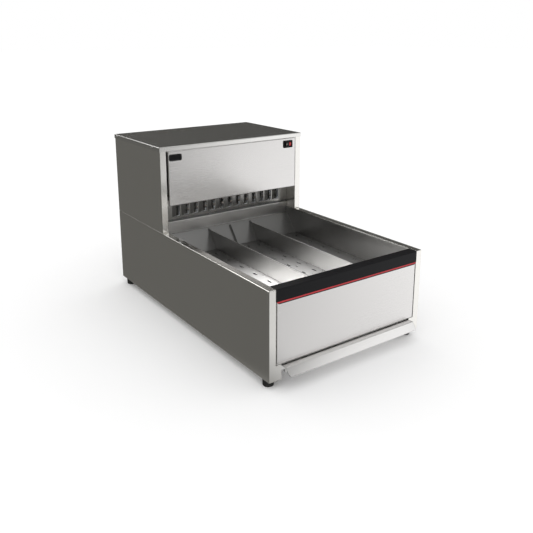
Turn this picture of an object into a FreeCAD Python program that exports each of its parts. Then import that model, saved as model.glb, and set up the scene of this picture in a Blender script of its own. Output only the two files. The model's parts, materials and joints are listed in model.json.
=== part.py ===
import FreeCAD, Part
import math
import os

# A countertop warmer that keeps chips and other fried food crisp with moving hot air.
# Sizes are in millimetres. X runs to the right, Y from the front to the back and Z up.
# While the pieces are built, Y starts at the face of the front posts and Z at the lower
# edge of the side panels. The last function moves every piece, so that the origin is
# under the middle of the object, on the surface that it stands on.

# Body
body_width = 470.0
body_depth = 789.0
base_height = 214.0
hood_depth = 295.0
hood_height = 233.8
flange_width = 19.0
sheet = 1.2
bend_radius = 2.0
seam_gap = 0.3
cut_overrun = 5.0

# Base side panels
foot_flange_width = 34.0
rail_lip_height = 8.0

# Feet
foot_radius = 13.7
foot_base_radius = 12.6
foot_height = 19.4
foot_inset_y = 26.0
foot_recess_radius = 7.0
foot_recess_depth = 10.0
foot_edge_radius = 2.0
foot_bolt_radius = 3.0
foot_bolt_head_radius = 5.5
foot_bolt_head_height = 4.0
foot_nut_width = 10.0
foot_nut_height = 5.0
foot_nut_side_count = 6

# Front of the base
front_panel_gap = 1.7
tray_mouth_height = 37.0
front_panel_flange = 12.0
front_rail_depth = 22.8
front_rail_height = 22.8
trim_sheet = 1.5
trim_height = 34.3
trim_corner_radius = 9.0
trim_bend_radius = 2.5
trim_back_lip = 7.0
trim_side_gap = 0.5
stripe_height = 3.4
stripe_rise = 2.6
stripe_thickness = 0.4

# Product pan, perforated floor and dividers
pan_wall_gap = 0.8
pan_wall_top_drop = 1.5
pan_rim_drop = 19.0
pan_floor_drop = 74.0
pan_rim_width = 3.5
pan_slant_run = 44.0
pan_floor_ledge = 12.0
pan_front_clearance = 0.5
pan_back_clearance = 0.5
floor_edge_gap = 1.0
section_count = 3
slot_length = 17.0
slot_width = 5.0
hole_radius = 2.4
perforation_pitch_y = 64.0
perforation_pitch_x = 34.0
slot_offset = 20.5
hole_offset_x = 13.3
hole_offset_y = 19.0
perforation_margin = 40.5
divider_thickness = 1.5
divider_height = 49.5
divider_hem_thickness = 3.0
divider_hem_height = 7.0
divider_hem_radius = 1.0
divider_end_gap = 1.6
divider_floor_gap = 0.3
guide_wall = 0.8
guide_depth = 6.0
guide_base = 0.6
guide_slack = 0.35
guide_end_gap = 4.0

# Pan ledges and side insulation
pan_ledge_reach = 27.8
pan_ledge_leg = 26.0
insulation_gap = 0.5

# Crumb tray and its runners
tray_side_gap = 1.0
tray_flange_width = 12.0
tray_top = 34.2
tray_floor_height = 10.0
tray_back_gap = 10.0
tray_front_wall_set_back = 4.0
lip_ledge = 15.2
lip_run = 13.8
lip_drop = 17.6
lip_corner_radius = 9.0
lip_leg = 14.0
runner_slack = 0.2
runner_side_gap = 1.0
runner_ledge = 9.0
runner_foot = 12.0
runner_front_gap = 4.0

# Rear of the base
bulkhead_bottom_drop = 84.0
bulkhead_top_rise = 15.8
bulkhead_flange = 15.0
rear_floor_gap = 8.0
rear_floor_barrier = 30.0

# Hood
cover_flange = 12.0
cover_slack = 0.2
cheek_length = 42.2
hood_panel_gap = 3.5
hood_panel_proud = 4.0
hood_panel_bottom_rise = 73.0
hood_panel_top_gap = 0.4
top_crossbar_height = 14.0
top_crossbar_depth = 12.0
bottom_crossbar_height = 16.0
cover_screw_front_set_in = 37.0
cover_screw_back_set_in = 21.0
cover_screw_rise = 7.0
pan_screw_head_radius = 3.8
pan_screw_head_height = 2.2
pan_screw_shank_radius = 2.0
pan_screw_length = 8.0
screw_recess_radius = 1.7
screw_recess_depth = 1.0
back_screw_edge = 40.0
back_screw_count = 3

# Louvre panel
louver_height = 69.8
louver_flange = 15.0
louver_plain_end = 24.0
louver_pitch = 28.5
louver_window_width = 24.5
louver_window_rise = 9.8
louver_window_height = 50.0
louver_set_back = 8.0
louver_vane_sheet = 1.0

# Badge plate and power switch
badge_width = 37.5
badge_height = 18.0
badge_thickness = 1.4
badge_corner_radius = 5.0
badge_rim = 1.6
badge_rim_depth = 0.5
badge_edge_gap = 3.5
badge_top_drop = 19.8
switch_width = 33.0
switch_height = 22.0
switch_bezel_thickness = 2.0
switch_corner_radius = 3.0
switch_edge_gap = 11.5
switch_top_drop = 18.8
switch_body_inset = 2.5
switch_body_depth = 24.0
switch_cavity_inset = 4.2
switch_cavity_depth = 11.0
rocker_half_length = 11.6
rocker_height = 13.2
rocker_face_rise = 3.0
rocker_valley = 1.1
rocker_root_half_length = 4.0
rocker_root_depth = 4.0
rocker_side_depth = 1.0
rocker_tilt = 10.0
rocker_pin_radius = 1.1
rocker_pin_length = 1.4
rocker_pin_clearance = 0.05
lens_thickness = 0.5
lens_margin = 1.6
lens_start = 3.4

# Blower deck, duct and heating element
deck_rise = 19.2
deck_side_gap = 2.0
deck_foot = 18.0
deck_gap = 0.5
duct_depth = 60.0
element_radius = 4.0
element_pitch = 16.0
element_runs = 4
element_end_gap = 51.0
element_tail = 24.0
element_bottom_rise = 10.0
element_set_back = 35.0
bracket_depth = 24.0
bracket_end_gap = 25.0
bracket_slack = 0.05

# Blower
blower_gap = 8.9
blower_height = 67.8
blower_wall = 1.5
outlet_width = 66.0
inlet_radius = 45.0
wheel_side_gap = 18.0
wheel_height = 48.0
wheel_plate = 2.0
wheel_ring_width = 9.0
wheel_blade_count = 24
wheel_blade_sheet = 1.2
wheel_blade_angle = 35.0
wheel_floor_gap = 6.0
hub_radius = 12.0
hub_height = 20.0
shaft_radius = 4.0
shaft_clearance = 0.05
shaft_hole_clearance = 2.0
motor_radius = 42.0
motor_height = 58.0
motor_cap_radius = 30.0
motor_cap_height = 8.0
motor_foot_radius = 52.0
motor_foot_thickness = 3.0

# Controls and connections
probe_radius = 2.0
probe_length = 55.0
probe_nut_radius = 5.0
probe_nut_height = 6.0
probe_set_in = 116.0
probe_set_back = 20.0
limit_radius = 8.0
limit_height = 12.0
limit_ear_length = 30.0
limit_ear_width = 10.0
limit_set_in = 116.0
limit_set_back = 30.0
thermostat_length = 70.0
thermostat_depth = 50.0
thermostat_height = 40.0
thermostat_set_in = 61.0
thermostat_forward = 10.0
thermostat_shaft_radius = 3.0
thermostat_shaft_length = 12.0
terminal_length = 60.0
terminal_depth = 22.0
terminal_height = 18.0
terminal_set_in = 66.0
terminal_poles = 5
terminal_wall = 1.5
terminal_screw_radius = 3.0
terminal_screw_height = 2.0
gland_set_in = 46.0
gland_rise = 60.0
gland_flange_radius = 13.0
gland_flange_thickness = 4.0
gland_thread_radius = 9.0
gland_bore_radius = 4.5
gland_nut_radius = 12.0
gland_nut_thickness = 4.0

# Levels and places that follow from the sizes
same_place = 0.001
hood_start = body_depth - hood_depth
half_width = body_width / 2
wall_inside = half_width - sheet
rail_inner = half_width - flange_width
foot_flange_inner = half_width - foot_flange_width
foot_x = half_width - foot_flange_width / 2
tray_half_width = foot_flange_inner - tray_side_gap
rail_underside = base_height - sheet
hood_top = base_height + hood_height
back_inside = body_depth - sheet
flat_half_width = half_width - bend_radius
pan_outer = rail_inner - pan_wall_gap
pan_inner = pan_outer - sheet
pan_wall_top = base_height - pan_wall_top_drop
pan_rim_level = base_height - pan_rim_drop
pan_floor_top = base_height - pan_floor_drop
pan_floor_under = pan_floor_top - sheet
pan_under = pan_floor_under - sheet
front_rail_back = sheet + front_rail_depth
trim_back = front_rail_back + trim_sheet
pan_front = trim_back + pan_front_clearance
louver_face = hood_start + cheek_length - sheet
bulkhead_face = louver_face + sheet
pan_back = bulkhead_face - pan_back_clearance
pan_floor_front = pan_front + pan_rim_width + pan_slant_run
pan_floor_back = pan_back - pan_rim_width - pan_slant_run
section_width = 2 * pan_inner / section_count
bulkhead_bottom = base_height - bulkhead_bottom_drop
bulkhead_top = base_height + bulkhead_top_rise
deck_top = base_height + deck_rise
deck_half_width = rail_inner - deck_side_gap
louver_top = deck_top + louver_height
louver_count = int(2 * (rail_inner - louver_plain_end) // louver_pitch)
hood_panel_bottom = base_height + hood_panel_bottom_rise
cover_flange_bottom = hood_top + sheet - cover_flange
hood_panel_top = cover_flange_bottom - hood_panel_top_gap
hood_panel_face = hood_start - hood_panel_proud
hood_panel_half_width = rail_inner - hood_panel_gap
crossbar_front = hood_start + sheet
duct_front = louver_face + louver_flange
duct_back = duct_front + duct_depth
element_half_length = rail_inner - element_end_gap
bracket_offset = element_half_length - bracket_end_gap
blower_y = (duct_back + back_inside) / 2
blower_radius = (back_inside - duct_back) / 2 - blower_gap
wheel_radius = blower_radius - wheel_side_gap
probe_x = rail_inner - probe_set_in
limit_x = limit_set_in - rail_inner
thermostat_x = rail_inner - thermostat_set_in
thermostat_y = blower_y - thermostat_forward
terminal_x = terminal_set_in - rail_inner
gland_x = gland_set_in - rail_inner
tray_back = pan_floor_back + tray_back_gap
rear_floor_front = tray_back + rear_floor_gap


# Helpers

def point(x, y, z):
    return FreeCAD.Vector(x, y, z)


def block(x_range, y_range, z_range):
    corner = point(x_range[0], y_range[0], z_range[0])
    return Part.makeBox(
        x_range[1] - x_range[0], y_range[1] - y_range[0], z_range[1] - z_range[0], corner)


def rod(radius, start, direction, length):
    return Part.makeCylinder(radius, length, start, direction)


def join(shapes):
    return shapes[0].multiFuse(shapes[1:]).removeSplitter()


def mirrored(shape):
    return shape.mirror(point(0, 0, 0), point(1, 0, 0))


def round_edges(solid, radius, chosen):
    edges = [edge for edge in solid.Edges if chosen(edge)]
    return solid.makeFillet(radius, edges)


def runs_along(edge, axis):
    first, last = edge.Vertexes[0].Point, edge.Vertexes[-1].Point
    return all(abs(first[i] - last[i]) < same_place for i in range(3) if i != axis)


def off_plane(edge, axis, level):
    return any(abs(vertex.Point[axis] - level) > same_place for vertex in edge.Vertexes)


def sheet_box(x_range, y_range, z_range, open_side):
    """A folded sheet box with one open side, named by its axis letter and sign."""
    ranges = [list(x_range), list(y_range), list(z_range)]
    axis = "xyz".index(open_side[0])
    end = 1 if open_side[1] == "+" else 0
    level = ranges[axis][end]
    outer = round_edges(block(*ranges), bend_radius, lambda edge: off_plane(edge, axis, level))
    inner_ranges = [[low + sheet, high - sheet] for low, high in ranges]
    inner_level = level + (cut_overrun if end else -cut_overrun)
    inner_ranges[axis][end] = inner_level
    inner = round_edges(
        block(*inner_ranges), bend_radius - sheet, lambda edge: off_plane(edge, axis, inner_level))
    return outer.cut(inner)


def folded_strip(outline, wall, inner_radius, to_space, run):
    """A sheet folded along an open outline. The outline lies on one face of the sheet,
    the wall is added on its left, and run is the vector of the sheet's width."""
    near_ends = [outline[0]]
    far_ends = []
    arcs = []
    count = len(outline)
    for index in range(count - 1):
        here, there = outline[index], outline[index + 1]
        length = math.hypot(there[0] - here[0], there[1] - here[1])
        way = ((there[0] - here[0]) / length, (there[1] - here[1]) / length)
        left = (-way[1], way[0])
        if index == 0:
            far_ends.append((here[0] + left[0] * wall, here[1] + left[1] * wall))
        if index == count - 2:
            near_ends.append(there)
            far_ends.append((there[0] + left[0] * wall, there[1] + left[1] * wall))
            break
        after = outline[index + 2]
        next_length = math.hypot(after[0] - there[0], after[1] - there[1])
        next_way = ((after[0] - there[0]) / next_length, (after[1] - there[1]) / next_length)
        next_left = (-next_way[1], next_way[0])
        turn = math.atan2(
            way[0] * next_way[1] - way[1] * next_way[0], way[0] * next_way[0] + way[1] * next_way[1])
        sign = 1 if turn > 0 else -1
        near_radius = inner_radius + wall if turn > 0 else inner_radius
        far_radius = inner_radius if turn > 0 else inner_radius + wall
        reach = near_radius * math.tan(abs(turn) / 2)
        near_start = (there[0] - way[0] * reach, there[1] - way[1] * reach)
        near_stop = (there[0] + next_way[0] * reach, there[1] + next_way[1] * reach)
        centre = (near_start[0] + left[0] * near_radius * sign, near_start[1] + left[1] * near_radius * sign)
        out = (there[0] - centre[0], there[1] - centre[1])
        out_length = math.hypot(*out)
        near_middle = tuple(centre[i] + out[i] / out_length * near_radius for i in range(2))
        far_middle = tuple(centre[i] + out[i] / out_length * far_radius for i in range(2))
        far_start = (near_start[0] + left[0] * wall, near_start[1] + left[1] * wall)
        far_stop = (near_stop[0] + next_left[0] * wall, near_stop[1] + next_left[1] * wall)
        near_ends += [near_start, near_stop]
        far_ends += [far_start, far_stop]
        arcs += [(near_start, near_middle, near_stop), (far_start, far_middle, far_stop)]
    edges = []
    for ends in (near_ends, far_ends):
        for index in range(0, len(ends), 2):
            edges.append(Part.makeLine(to_space(*ends[index]), to_space(*ends[index + 1])))
    for start, middle, stop in arcs:
        edges.append(Part.Arc(to_space(*start), to_space(*middle), to_space(*stop)).toShape())
    edges.append(Part.makeLine(to_space(*near_ends[0]), to_space(*far_ends[0])))
    edges.append(Part.makeLine(to_space(*near_ends[-1]), to_space(*far_ends[-1])))
    return Part.Face(Part.Wire(Part.sortEdges(edges)[0])).extrude(run)


def in_yz(x):
    return lambda y, z: point(x, y, z)


def in_xz(y):
    return lambda x, z: point(x, y, z)


def polygon(points, run):
    return Part.Face(Part.makePolygon(points + points[:1])).extrude(run)


def rounded_plate(x_range, y_range, z_range, radius):
    """A plate that faces the front, with its four corners rounded."""
    return round_edges(block(x_range, y_range, z_range), radius, lambda edge: runs_along(edge, 1))


def pan_head_screw(seat, way):
    """A screw whose head's underside is at seat and whose shank points along way."""
    back = way * -1
    head = rod(pan_screw_head_radius, seat, back, pan_screw_head_height)
    top = seat + back * pan_screw_head_height
    head = head.makeChamfer(pan_screw_head_height / 2, [
        edge for edge in head.Edges
        if edge.Closed and abs((edge.CenterOfMass - top).Length) < same_place])
    shank = rod(pan_screw_shank_radius, seat, way, pan_screw_length)
    recess = Part.makeCylinder(
        screw_recess_radius, screw_recess_depth + cut_overrun, top + back * cut_overrun, way)
    return join([head, shank]).cut(recess)


def drilled(shape, places, way, radius, depth):
    """Cuts round holes that start one overrun before each place."""
    tools = [rod(radius, place - way * cut_overrun, way, depth + 2 * cut_overrun) for place in places]
    return shape.cut(Part.makeCompound(tools))


# Base

def foot_places():
    return [point(x, y, 0) for x in (-foot_x, foot_x) for y in (foot_inset_y, body_depth - foot_inset_y)]


def make_base_side():
    """The right side panel: outer wall, rail on top, post in front and foot flange below."""
    shell = sheet_box((rail_inner, half_width), (0, body_depth), (0, base_height), "x-")
    overlap = half_width - bend_radius
    foot_flange = block((foot_flange_inner, overlap), (0, body_depth), (0, sheet))
    post_foot = block((foot_flange_inner, overlap), (0, sheet), (0, tray_mouth_height - seam_gap))
    rail_lip = block(
        (rail_inner, rail_inner + sheet), (0, body_depth), (base_height - rail_lip_height, rail_underside))
    panel = join([shell, foot_flange, post_foot, rail_lip])
    holes = [place for place in foot_places() if place.x > 0]
    panel = drilled(panel, holes, point(0, 0, 1), foot_bolt_radius, sheet)
    return drilled(panel, back_screw_places(0, base_height), point(0, -1, 0), pan_screw_shank_radius, sheet)


def back_screw_places(bottom, top):
    """Screws through the right-hand back flange of a side panel."""
    x = half_width - flange_width / 2
    step = (top - bottom - 2 * back_screw_edge) / (back_screw_count - 1)
    return [point(x, body_depth, bottom + back_screw_edge + step * i) for i in range(back_screw_count)]


def nut_room():
    """Room for the nuts of the foot bolts, for the sheets that lie beside them."""
    height = sheet + foot_nut_height + cut_overrun
    return Part.makeCompound([
        rod(foot_nut_width, place, point(0, 0, 1), height) for place in foot_places()])


def make_rubber_feet():
    feet = []
    for place in foot_places():
        foot = Part.makeCone(
            foot_base_radius, foot_radius, foot_height, place - point(0, 0, foot_height))
        foot = round_edges(foot, foot_edge_radius, lambda edge: not off_plane(edge, 2, -foot_height))
        bottom = place - point(0, 0, foot_height + cut_overrun)
        recess = rod(foot_recess_radius, bottom, point(0, 0, 1), foot_recess_depth + cut_overrun)
        foot = foot.cut(recess)
        feet.append(drilled(foot, [bottom], point(0, 0, 1), foot_bolt_radius, foot_height))
    return Part.makeCompound(feet)


def make_foot_bolts():
    bolts = []
    head_seat = -(foot_height - foot_recess_depth)
    for place in foot_places():
        shank_length = sheet + foot_nut_height - head_seat
        low = place + point(0, 0, head_seat)
        head = rod(foot_bolt_head_radius, low, point(0, 0, -1), foot_bolt_head_height)
        shank = rod(foot_bolt_radius, low, point(0, 0, 1), shank_length)
        corner_radius = foot_nut_width / 2 / math.cos(math.pi / foot_nut_side_count)
        turns = [2 * math.pi * number / foot_nut_side_count for number in range(foot_nut_side_count)]
        corners = [
            place + point(corner_radius * math.cos(turn), corner_radius * math.sin(turn), sheet)
            for turn in turns]
        nut = polygon(corners, point(0, 0, foot_nut_height))
        bolts.append(join([head, shank, nut]))
    return Part.makeCompound(bolts)


def make_base_front_panel():
    half = rail_inner - front_panel_gap
    flange_top = base_height - sheet - front_rail_height - seam_gap
    folded = sheet_box(
        (-half, half), (0, front_panel_flange), (tray_mouth_height, base_height), "y+")
    above = block(
        (-body_width, body_width), (sheet, body_depth), (flange_top, base_height + cut_overrun))
    top = rail_underside - (trim_bend_radius - trim_sheet)
    trimmed = block(
        (-body_width, body_width), (-cut_overrun, body_depth), (top, base_height + cut_overrun))
    return folded.cut(above).cut(trimmed)


def make_front_cross_rail():
    """A square tube behind the top of the front panel, from side to side."""
    outer = block(
        (-flat_half_width, flat_half_width), (sheet, front_rail_back),
        (rail_underside - front_rail_height, rail_underside))
    outer = round_edges(outer, bend_radius, lambda edge: runs_along(edge, 0))
    inner = block(
        (-body_width, body_width), (2 * sheet, front_rail_back - sheet),
        (rail_underside - front_rail_height + sheet, rail_underside - sheet))
    lips = [
        block((rail_inner - seam_gap, rail_inner + sheet + seam_gap), (0, body_depth),
              (base_height - rail_lip_height - seam_gap, base_height))]
    lips.append(mirrored(lips[0]))
    return outer.cut(inner).cut(Part.makeCompound(lips))


def trim_outline_mask():
    """The front outline of the trim cap, with its lower corners rounded."""
    half = rail_inner - trim_side_gap
    bottom = rail_underside + trim_sheet - trim_height
    plate = block((-half, half), (-body_depth, body_depth), (bottom, base_height + cut_overrun))
    return round_edges(
        plate, trim_corner_radius,
        lambda edge: runs_along(edge, 1) and not off_plane(edge, 2, bottom))


def make_front_trim_cap():
    top = rail_underside + trim_sheet
    bottom = top - trim_height
    half = rail_inner - trim_side_gap
    outline = [
        (trim_back, top - trim_back_lip), (trim_back, top), (-trim_sheet, top), (-trim_sheet, bottom)]
    cap = folded_strip(
        outline, trim_sheet, trim_bend_radius - trim_sheet, in_yz(-half), point(2 * half, 0, 0))
    return cap.common(trim_outline_mask())


def make_red_stripe():
    bottom = rail_underside + trim_sheet - trim_height + stripe_rise
    strip = block(
        (-body_width, body_width), (-trim_sheet - stripe_thickness, -trim_sheet),
        (bottom, bottom + stripe_height))
    return strip.common(trim_outline_mask())


def make_base_back_panel():
    panel = block(
        (-flat_half_width, flat_half_width), (back_inside - sheet, back_inside),
        (2 * sheet, base_height - bend_radius))
    lips = [
        block((rail_inner - seam_gap, rail_inner + sheet + seam_gap), (0, body_depth),
              (base_height - rail_lip_height - seam_gap, base_height))]
    lips.append(mirrored(lips[0]))
    panel = panel.cut(Part.makeCompound(lips))
    return drilled(
        panel, both_sides(back_screw_places(0, base_height)), point(0, -1, 0),
        pan_screw_shank_radius, 2 * sheet)


def both_sides(places):
    return places + [point(-place.x, place.y, place.z) for place in places]


def make_rear_floor():
    """A flat floor behind the tray, with a low wall at its front edge."""
    outline = [
        (back_inside - sheet, 2 * sheet), (rear_floor_front, 2 * sheet),
        (rear_floor_front, 2 * sheet + rear_floor_barrier)]
    floor = folded_strip(
        outline, sheet, bend_radius - sheet, in_yz(-flat_half_width), point(2 * flat_half_width, 0, 0))
    return floor.cut(nut_room())


def make_bulkhead():
    return sheet_box(
        (-rail_inner, rail_inner), (bulkhead_face, bulkhead_face + bulkhead_flange),
        (bulkhead_bottom, bulkhead_top), "y+")


# Product pan, its floor and its dividers

def make_product_pan():
    """Slanted front and back walls and two side walls, with a ledge for the floor."""
    width = point(2 * pan_inner, 0, 0)
    back_outline = [
        (pan_back, pan_rim_level), (pan_back - pan_rim_width, pan_rim_level),
        (pan_floor_back, pan_floor_under), (pan_floor_back - pan_floor_ledge, pan_floor_under)]
    front_outline = [
        (pan_floor_front + pan_floor_ledge, pan_floor_under), (pan_floor_front, pan_floor_under),
        (pan_front + pan_rim_width, pan_rim_level), (pan_front, pan_rim_level)]
    side_outline = [
        (pan_inner, pan_wall_top), (pan_inner, pan_floor_under),
        (pan_inner - pan_floor_ledge, pan_floor_under)]
    inner_radius = bend_radius - sheet
    back_wall = folded_strip(back_outline, sheet, inner_radius, in_yz(-pan_inner), width)
    front_wall = folded_strip(front_outline, sheet, inner_radius, in_yz(-pan_inner), width)
    length = point(0, pan_back - pan_front, 0)
    side_wall = folded_strip(side_outline, sheet, inner_radius, in_xz(pan_front), length)
    outline = [
        point(-body_width, pan_front, pan_wall_top + cut_overrun),
        point(-body_width, pan_front, pan_rim_level - sheet),
        point(-body_width, pan_floor_front, pan_under),
        point(-body_width, pan_floor_back, pan_under),
        point(-body_width, pan_back, pan_rim_level - sheet),
        point(-body_width, pan_back, pan_wall_top + cut_overrun)]
    envelope = polygon(outline, point(2 * body_width, 0, 0))
    return join([back_wall, front_wall, side_wall, mirrored(side_wall)]).common(envelope)


def slot_cutter(x, y):
    half = (slot_length - slot_width) / 2
    low = pan_floor_under - cut_overrun
    height = sheet + 2 * cut_overrun
    radius = slot_width / 2
    ends = [rod(radius, point(x, y + side * half, low), point(0, 0, 1), height) for side in (-1, 1)]
    middle = block((x - radius, x + radius), (y - half, y + half), (low, low + height))
    return join(ends + [middle])


def perforation_places():
    """Slots in columns, each with a round hole beside and in front of it."""
    slots = []
    holes = []
    first_y = pan_floor_front + perforation_margin
    rows = int((pan_floor_back - perforation_margin - first_y) // perforation_pitch_y) + 1
    columns = int(section_width // perforation_pitch_x)
    for section in range(section_count):
        right = -pan_inner + section_width * (section + 1)
        for column in range(columns):
            x = right - slot_offset - perforation_pitch_x * column
            for row in range(rows):
                y = first_y + hole_offset_y + perforation_pitch_y * row
                slots.append((x, y))
                holes.append(point(x + hole_offset_x, y - hole_offset_y, pan_floor_under))
    return slots, holes


def make_perforated_floor():
    half = pan_inner - floor_edge_gap
    floor = block(
        (-half, half), (pan_floor_front + floor_edge_gap, pan_floor_back - floor_edge_gap),
        (pan_floor_under, pan_floor_top))
    slots, holes = perforation_places()
    floor = floor.cut(Part.makeCompound([slot_cutter(x, y) for x, y in slots]))
    return drilled(floor, holes, point(0, 0, 1), hole_radius, sheet)


def divider_places():
    return [-pan_inner + section_width * number for number in range(1, section_count)]


def slant_at(level):
    """How far the slanted wall has come in from the rim at a level."""
    share = (pan_rim_level - level) / (pan_rim_level - pan_floor_under)
    return pan_slant_run * share


def make_divider(x):
    """An upright sheet that follows the slanted end walls, with a hemmed top edge."""
    bottom = pan_floor_top + divider_floor_gap
    top = pan_floor_top + divider_height
    edge = pan_rim_width + guide_base + divider_end_gap
    left = x - divider_thickness / 2
    corners = [
        point(left, pan_front + edge + slant_at(bottom), bottom),
        point(left, pan_front + edge + slant_at(top), top),
        point(left, pan_back - edge - slant_at(top), top),
        point(left, pan_back - edge - slant_at(bottom), bottom)]
    plate = polygon(corners, point(divider_thickness, 0, 0))
    hem_bottom = top - divider_hem_height
    hem_edge = edge + slant_at(hem_bottom) + guide_depth
    hem = block(
        (x - divider_hem_thickness / 2, x + divider_hem_thickness / 2),
        (pan_front + hem_edge, pan_back - hem_edge), (hem_bottom, top))
    hem = round_edges(
        hem, divider_hem_radius,
        lambda side: runs_along(side, 1) and not off_plane(side, 2, top))
    return join([plate, hem])


def make_divider_guides():
    """Channels on the slanted end walls: one pair for each divider, one pair in the middle."""
    guides = []
    top = pan_rim_level - guide_end_gap
    bottom = pan_floor_top + divider_floor_gap
    half = divider_thickness / 2 + guide_slack + guide_wall
    for x in divider_places() + [0]:
        corners = [
            point(x - half, pan_front + pan_rim_width + slant_at(bottom), bottom),
            point(x - half, pan_front + pan_rim_width + slant_at(top), top),
            point(x - half, pan_front + pan_rim_width + slant_at(top) + guide_depth, top),
            point(x - half, pan_front + pan_rim_width + slant_at(bottom) + guide_depth, bottom)]
        outer = polygon(corners, point(2 * half, 0, 0))
        slot = outer.copy()
        slot.translate(point(0, guide_base, 0))
        keep = block(
            (x - half + guide_wall, x + half - guide_wall), (0, body_depth),
            (bottom - cut_overrun, top + cut_overrun))
        front_guide = outer.cut(slot.common(keep))
        guides.append(front_guide)
        middle_y = (pan_front + pan_back) / 2
        guides.append(front_guide.mirror(point(0, middle_y, 0), point(0, 1, 0)))
    return Part.makeCompound(guides)


def make_pan_ledge():
    outline = [
        (wall_inside, pan_under - pan_ledge_leg), (wall_inside, pan_under),
        (wall_inside - pan_ledge_reach, pan_under)]
    length = point(0, pan_back - trim_back, 0)
    return folded_strip(outline, sheet, bend_radius - sheet, in_xz(trim_back), length)


def make_insulation():
    return block(
        (rail_inner + sheet + insulation_gap, wall_inside), (trim_back, pan_back),
        (pan_under, base_height - bend_radius))


# Crumb tray

def make_crumb_tray():
    body_half = tray_half_width - tray_flange_width
    front = tray_front_wall_set_back
    body = sheet_box((-body_half, body_half), (front, tray_back), (tray_floor_height, tray_top), "z+")
    ring = block(
        (-tray_half_width, tray_half_width), (front, tray_back), (tray_top - sheet, tray_top))
    hole = block(
        (-body_half + sheet, body_half - sheet), (front + sheet, tray_back - sheet),
        (tray_top - 2 * sheet, tray_top + sheet))
    return join([body, ring.cut(hole)])


def make_tray_lip():
    """The pull at the tray's front: a leg on the tray, a ledge and a face that slants out."""
    back = tray_front_wall_set_back
    outline = [
        (back, tray_top - lip_leg), (back, tray_top), (-lip_ledge, tray_top),
        (-lip_ledge - lip_run, tray_top - lip_drop)]
    lip = folded_strip(
        outline, sheet, bend_radius - sheet, in_yz(-tray_half_width), point(2 * tray_half_width, 0, 0))
    low = tray_top - lip_drop - sheet
    mask = block((-tray_half_width, tray_half_width), (-body_depth, body_depth), (low, body_depth))
    mask = round_edges(
        mask, lip_corner_radius, lambda edge: runs_along(edge, 1) and not off_plane(edge, 2, low))
    return lip.common(mask)


def make_tray_runner():
    """The right runner: a foot on the side panel's flange, a web and a ledge for the tray."""
    web = tray_half_width + runner_side_gap
    ledge_under = tray_top - 2 * sheet - runner_slack
    outline = [
        (web - runner_ledge, ledge_under), (web, ledge_under), (web, sheet), (web + runner_foot, sheet)]
    start = front_panel_flange + runner_front_gap
    strip = folded_strip(
        outline, sheet, bend_radius - sheet, in_xz(start), point(0, tray_back - start, 0))
    return strip.cut(nut_room())


# Hood

def make_hood_side():
    """The right side of the hood, with its front post and the cheek beside the mouth."""
    shell = sheet_box((rail_inner, half_width), (hood_start, body_depth), (base_height, hood_top), "x-")
    cheek = block(
        (rail_inner, rail_inner + sheet), (hood_start, bulkhead_face), (base_height, hood_top - sheet))
    panel = join([shell, cheek])
    panel = drilled(
        panel, cover_screw_places(), point(-1, 0, 0), pan_screw_shank_radius, sheet + cover_slack)
    return drilled(
        panel, back_screw_places(base_height, hood_top), point(0, -1, 0), pan_screw_shank_radius, sheet)


def cover_screw_places():
    """Screws through the right-hand flange of the top cover."""
    x = half_width + cover_slack + sheet
    z = cover_flange_bottom + cover_screw_rise
    levels = (hood_start + cover_screw_front_set_in, body_depth - cover_screw_back_set_in)
    return [point(x, y, z) for y in levels]


def make_hood_cover():
    half = half_width + cover_slack + sheet
    cover = sheet_box(
        (-half, half), (hood_start - cover_slack - sheet, body_depth + cover_slack + sheet),
        (cover_flange_bottom, hood_top + sheet), "z-")
    cover = drilled(cover, cover_screw_places(), point(-1, 0, 0), pan_screw_shank_radius, sheet)
    left = [point(-place.x, place.y, place.z) for place in cover_screw_places()]
    return drilled(cover, left, point(1, 0, 0), pan_screw_shank_radius, sheet)


def make_cover_screws():
    screws = [pan_head_screw(place, point(-1, 0, 0)) for place in cover_screw_places()]
    return Part.makeCompound(screws + [mirrored(screw) for screw in screws])


def make_back_screws():
    levels = back_screw_places(0, base_height) + back_screw_places(base_height, hood_top)
    return Part.makeCompound([pan_head_screw(place, point(0, -1, 0)) for place in both_sides(levels)])


def make_hood_front_panel():
    half = hood_panel_half_width
    panel = sheet_box(
        (-half, half), (hood_panel_face, crossbar_front), (hood_panel_bottom, hood_panel_top), "y+")
    x_range, z_range = switch_window(switch_body_inset)
    return panel.cut(block(x_range, (hood_panel_face - cut_overrun, crossbar_front), z_range))


def make_top_crossbar():
    outline = [
        (crossbar_front + top_crossbar_depth, hood_top), (crossbar_front, hood_top),
        (crossbar_front, hood_top - top_crossbar_height)]
    return folded_strip(
        outline, sheet, bend_radius - sheet, in_yz(-rail_inner), point(2 * rail_inner, 0, 0))


def make_bottom_crossbar():
    """An upright leg behind the hood panel, and a shelf that closes the mouth's ceiling."""
    top = hood_panel_bottom + bottom_crossbar_height
    outline = [
        (louver_face, top), (crossbar_front, top), (crossbar_front, hood_panel_bottom)]
    return folded_strip(
        outline, sheet, bend_radius - sheet, in_yz(-rail_inner), point(2 * rail_inner, 0, 0))


def make_hood_back_panel():
    panel = block(
        (-flat_half_width, flat_half_width), (back_inside - sheet, back_inside),
        (base_height + bend_radius, hood_top - bend_radius))
    panel = drilled(
        panel, both_sides(back_screw_places(base_height, hood_top)), point(0, -1, 0),
        pan_screw_shank_radius, 2 * sheet)
    return drilled(panel, [gland_place()], point(0, -1, 0), gland_thread_radius, sheet)


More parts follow.
